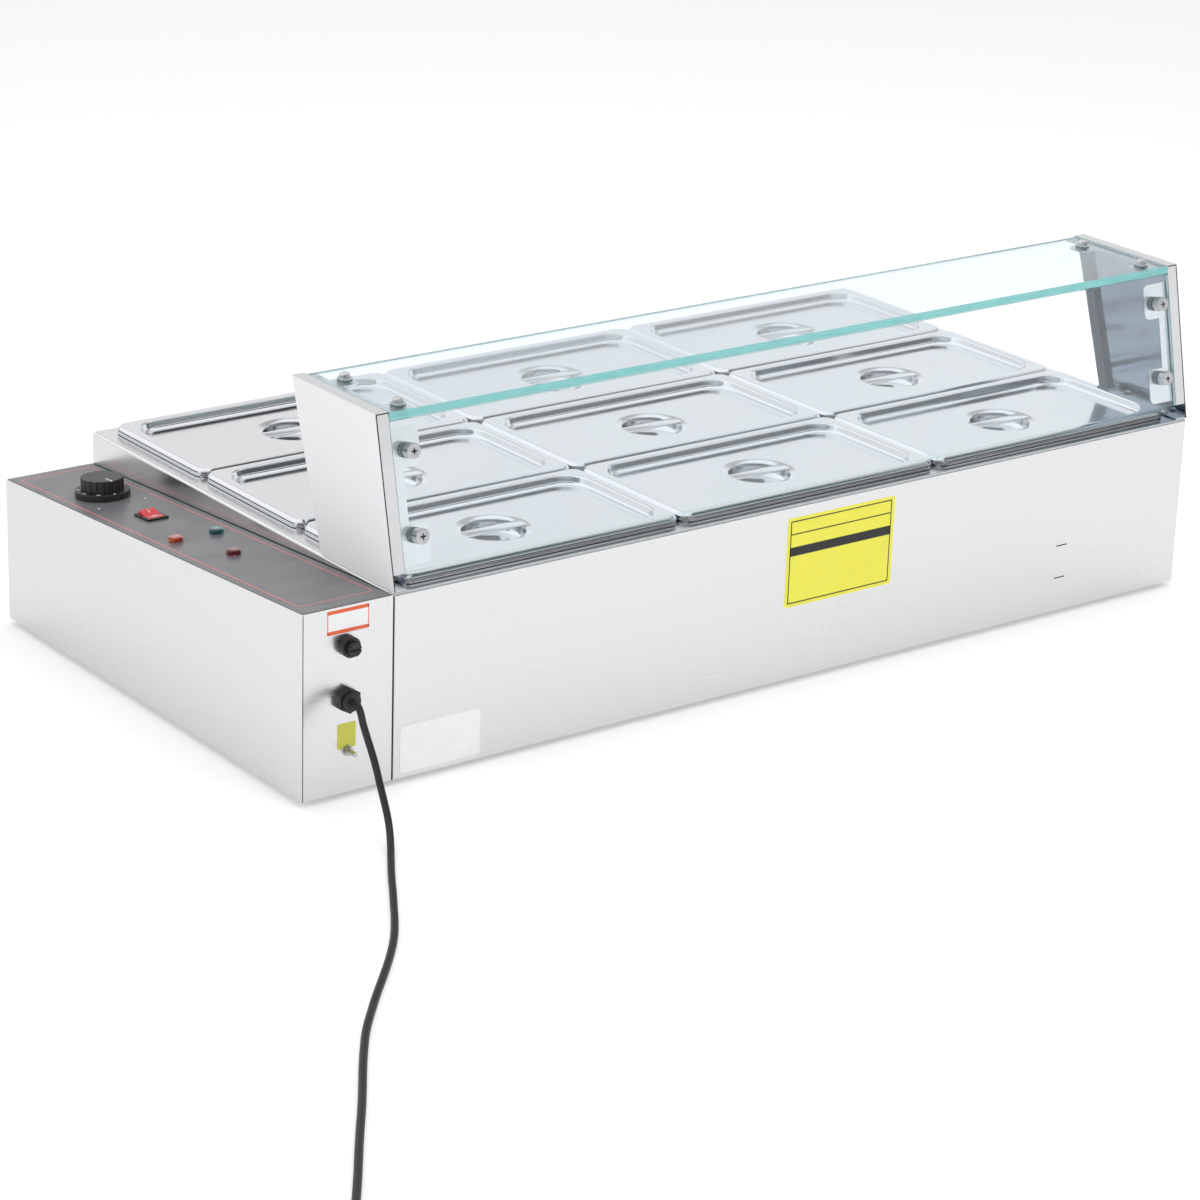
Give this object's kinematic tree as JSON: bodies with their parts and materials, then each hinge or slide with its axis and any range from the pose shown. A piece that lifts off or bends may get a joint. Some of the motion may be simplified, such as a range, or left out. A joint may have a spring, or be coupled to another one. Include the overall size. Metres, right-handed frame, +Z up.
{
  "type": "countertop steam table",
  "caption": "Countertop water-bath food warmer: stainless tank with lidded pans, a glass sneeze guard along the front and a control box with knob, rocker and lamps at one end.",
  "frame": {"origin": "on the counter below the middle of the table's outer box, the supply cord left out", "axes": "+X along the length, from the control box to the plain end; -Y towards the customer, where the glass guard stands, +Y towards the operator; +Z up"},
  "size_m": [1.5775, 1.463, 0.358],
  "materials": {
    "stainless_outer": "fine brushed stainless sheet, pale and even",
    "stainless_inner": "plain stainless sheet",
    "pan_steel": "satin pressed stainless",
    "lid_steel": "polished pressed stainless",
    "clear_glass": "clear toughened glass with teal edges",
    "bright_fasteners": "bright turned steel",
    "washer_rubber": "dark rubber washers",
    "foot_rubber": "black rubber",
    "gasket_rubber": "black foam strip",
    "element_sheath": "heat-stained alloy sheath",
    "brass_union": "turned brass",
    "copper_bulb": "drawn copper",
    "panel_grey": "graphite grey film, satin",
    "knob_plastic": "black moulded plastic",
    "spindle_steel": "turned steel",
    "thermostat_body": "moulded insulating body",
    "rocker_red": "red translucent plastic, glossy",
    "switch_black": "black moulded plastic, glossy",
    "lamp_green": "blue-green translucent lens",
    "lamp_orange": "orange translucent lens",
    "lamp_red": "dark red translucent lens",
    "fuse_black": "black moulded plastic",
    "fuse_glass": "glass fuse tube with metal ends",
    "gland_black": "black nylon",
    "plated_stud": "zinc plated steel",
    "terminal_ivory": "ivory moulded plastic",
    "cord_rubber": "black flexible sheath, satin",
    "tie_black": "black woven strap",
    "plug_rubber": "black moulded plug",
    "plug_pin_metal": "nickel plated brass"
  },
  "bodies": {
    "table": {"body_casing": "stainless_outer", "tank_base": "stainless_inner", "column_bars": "stainless_inner", "row_bars": "stainless_inner", "rubber_feet": "foot_rubber", "heating_elements": "element_sheath", "heater_unions": "brass_union", "thermostat_bulb": "copper_bulb", "guard_left_panel": "stainless_outer", "guard_right_panel": "stainless_outer", "top_glass": "clear_glass", "front_glass": "clear_glass", "top_glass_screws": "bright_fasteners", "front_glass_studs": "bright_fasteners", "glass_washers": "washer_rubber", "guard_foot_screws": "bright_fasteners", "box_gasket": "gasket_rubber", "control_housing": "stainless_outer", "control_panel": "panel_grey", "housing_base": "stainless_inner", "housing_screws": "bright_fasteners", "thermostat": "thermostat_body", "rocker_bezel": "switch_black", "lamp_green": "lamp_green", "lamp_orange": "lamp_orange", "lamp_red": "lamp_red", "fuse_holder": "fuse_black", "fuse_link": "fuse_glass", "cord_gland": "gland_black", "lock_nuts": "gland_black", "earth_stud": "plated_stud", "terminal_block": "terminal_ivory", "cord_lead": "cord_rubber", "cord_coil": "cord_rubber", "cord_tail": "cord_rubber", "cord_tie": "tie_black", "plug_body": "plug_rubber", "plug_pins": "plug_pin_metal"},
    "knob": {"knob": "knob_plastic", "thermostat_spindle": "spindle_steel"},
    "rocker": {"rocker": "rocker_red"},
    "fuse_cap": {"fuse_cap": "fuse_black"},
    "pan_front_left": {"pan_front_left": "pan_steel"},
    "lid_front_left": {"lid_front_left": "lid_steel"},
    "pan_front_centre": {"pan_front_centre": "pan_steel"},
    "lid_front_centre": {"lid_front_centre": "lid_steel"},
    "pan_front_right": {"pan_front_right": "pan_steel"},
    "lid_front_right": {"lid_front_right": "lid_steel"},
    "pan_middle_left": {"pan_middle_left": "pan_steel"},
    "lid_middle_left": {"lid_middle_left": "lid_steel"},
    "pan_middle_centre": {"pan_middle_centre": "pan_steel"},
    "lid_middle_centre": {"lid_middle_centre": "lid_steel"},
    "pan_middle_right": {"pan_middle_right": "pan_steel"},
    "lid_middle_right": {"lid_middle_right": "lid_steel"},
    "pan_back_left": {"pan_back_left": "pan_steel"},
    "lid_back_left": {"lid_back_left": "lid_steel"},
    "pan_back_centre": {"pan_back_centre": "pan_steel"},
    "lid_back_centre": {"lid_back_centre": "lid_steel"},
    "pan_back_right": {"pan_back_right": "pan_steel"},
    "lid_back_right": {"lid_back_right": "lid_steel"}
  },
  "joints": [
    {"name": "knob_turn", "type": "hinge", "parent": "table", "child": "knob", "pos_m": [-0.50725, 0.17599, 0.17019], "axis": [0, 0.0606, 0.9982], "range_deg": [-270, 0]},
    {"name": "rocker_tip", "type": "hinge", "parent": "table", "child": "rocker", "pos_m": [-0.50725, 0.0795, 0.16803], "axis": [1, 0, 0], "range_deg": [-22, 0]},
    {"name": "fuse_cap_turn", "type": "hinge", "parent": "table", "child": "fuse_cap", "pos_m": [-0.508, -0.2825, 0.151], "axis": [0, -1, 0], "range_deg": [0, 45]},
    {"name": "pan_front_left_lift", "type": "slide", "parent": "table", "child": "pan_front_left", "axis": [0, 0.1867, 0.9824], "range_m": [0, 0.106]},
    {"name": "lid_front_left_lift", "type": "slide", "parent": "pan_front_left", "child": "lid_front_left", "axis": [0, 0.1867, 0.9824], "range_m": [0, 0.03]},
    {"name": "pan_front_centre_lift", "type": "slide", "parent": "table", "child": "pan_front_centre", "axis": [0, 0.1867, 0.9824], "range_m": [0, 0.106]},
    {"name": "lid_front_centre_lift", "type": "slide", "parent": "pan_front_centre", "child": "lid_front_centre", "axis": [0, 0.1867, 0.9824], "range_m": [0, 0.03]},
    {"name": "pan_front_right_lift", "type": "slide", "parent": "table", "child": "pan_front_right", "axis": [0, 0.1867, 0.9824], "range_m": [0, 0.106]},
    {"name": "lid_front_right_lift", "type": "slide", "parent": "pan_front_right", "child": "lid_front_right", "axis": [0, 0.1867, 0.9824], "range_m": [0, 0.03]},
    {"name": "pan_middle_left_lift", "type": "slide", "parent": "table", "child": "pan_middle_left", "axis": [0, 0, 1], "range_m": [0, 0.26]},
    {"name": "lid_middle_left_lift", "type": "slide", "parent": "pan_middle_left", "child": "lid_middle_left", "axis": [0, 0, 1], "range_m": [0, 0.04]},
    {"name": "pan_middle_centre_lift", "type": "slide", "parent": "table", "child": "pan_middle_centre", "axis": [0, 0, 1], "range_m": [0, 0.26]},
    {"name": "lid_middle_centre_lift", "type": "slide", "parent": "pan_middle_centre", "child": "lid_middle_centre", "axis": [0, 0, 1], "range_m": [0, 0.04]},
    {"name": "pan_middle_right_lift", "type": "slide", "parent": "table", "child": "pan_middle_right", "axis": [0, 0, 1], "range_m": [0, 0.26]},
    {"name": "lid_middle_right_lift", "type": "slide", "parent": "pan_middle_right", "child": "lid_middle_right", "axis": [0, 0, 1], "range_m": [0, 0.04]},
    {"name": "pan_back_left_lift", "type": "slide", "parent": "table", "child": "pan_back_left", "axis": [0, 0, 1], "range_m": [0, 0.26]},
    {"name": "lid_back_left_lift", "type": "slide", "parent": "pan_back_left", "child": "lid_back_left", "axis": [0, 0, 1], "range_m": [0, 0.04]},
    {"name": "pan_back_centre_lift", "type": "slide", "parent": "table", "child": "pan_back_centre", "axis": [0, 0, 1], "range_m": [0, 0.26]},
    {"name": "lid_back_centre_lift", "type": "slide", "parent": "pan_back_centre", "child": "lid_back_centre", "axis": [0, 0, 1], "range_m": [0, 0.04]},
    {"name": "pan_back_right_lift", "type": "slide", "parent": "table", "child": "pan_back_right", "axis": [0, 0, 1], "range_m": [0, 0.26]},
    {"name": "lid_back_right_lift", "type": "slide", "parent": "pan_back_right", "child": "lid_back_right", "axis": [0, 0, 1], "range_m": [0, 0.04]}
  ]
}
